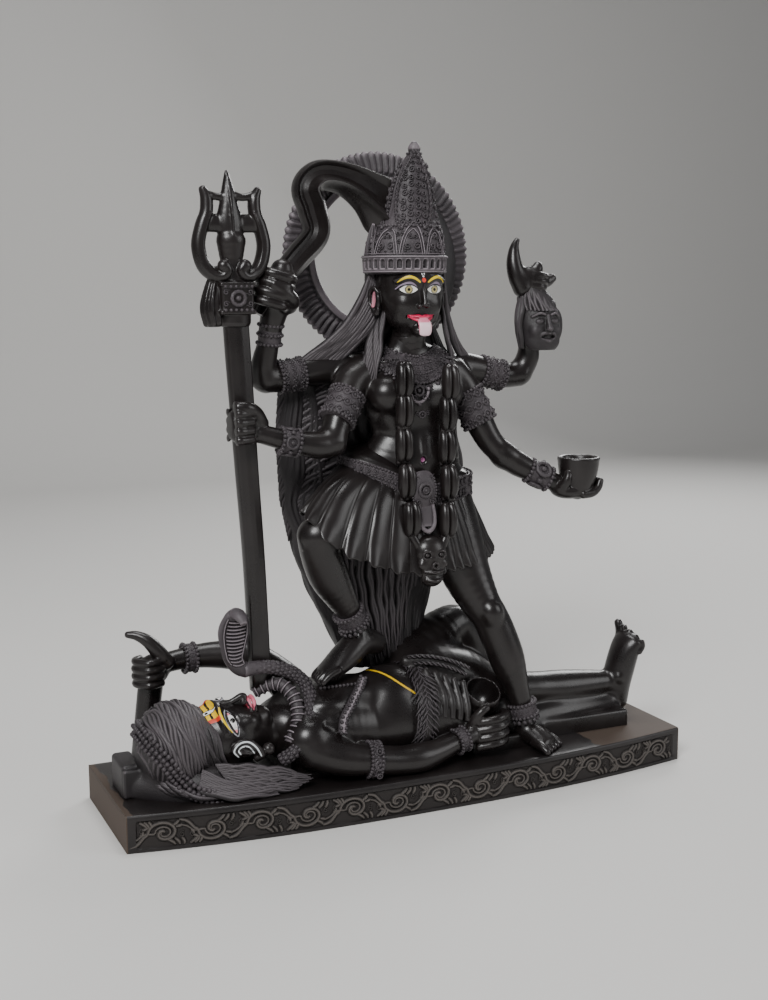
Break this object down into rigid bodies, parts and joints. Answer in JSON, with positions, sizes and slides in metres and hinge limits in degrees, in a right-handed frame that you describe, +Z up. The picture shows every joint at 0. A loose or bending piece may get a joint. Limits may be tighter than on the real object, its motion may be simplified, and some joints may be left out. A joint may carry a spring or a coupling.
{
  "type": "kali figure",
  "caption": "Four-armed stone figure with sword, trident, cup and held head, standing on a reclining figure, cut with its plinth from one block; a display carving",
  "frame": {"origin": "the middle of the plinth's underside, on the surface it stands on", "axes": "+X runs along the plinth, from the head of the reclining figure to its feet; -Y is the side the standing figure faces; +Z is up"},
  "size_m": [0.6, 0.176, 0.641],
  "materials": {
    "black_stone": "black stone, the bodies polished to a gloss, the carved hair, crown, halo and ornaments left matt and greyer, the ends and part of the top of the plinth rough and brown; painted eyes, brows, lips, tongue and marks"
  },
  "bodies": {
    "root": {"kali_statue": "black_stone"}
  },
  "joints": []
}
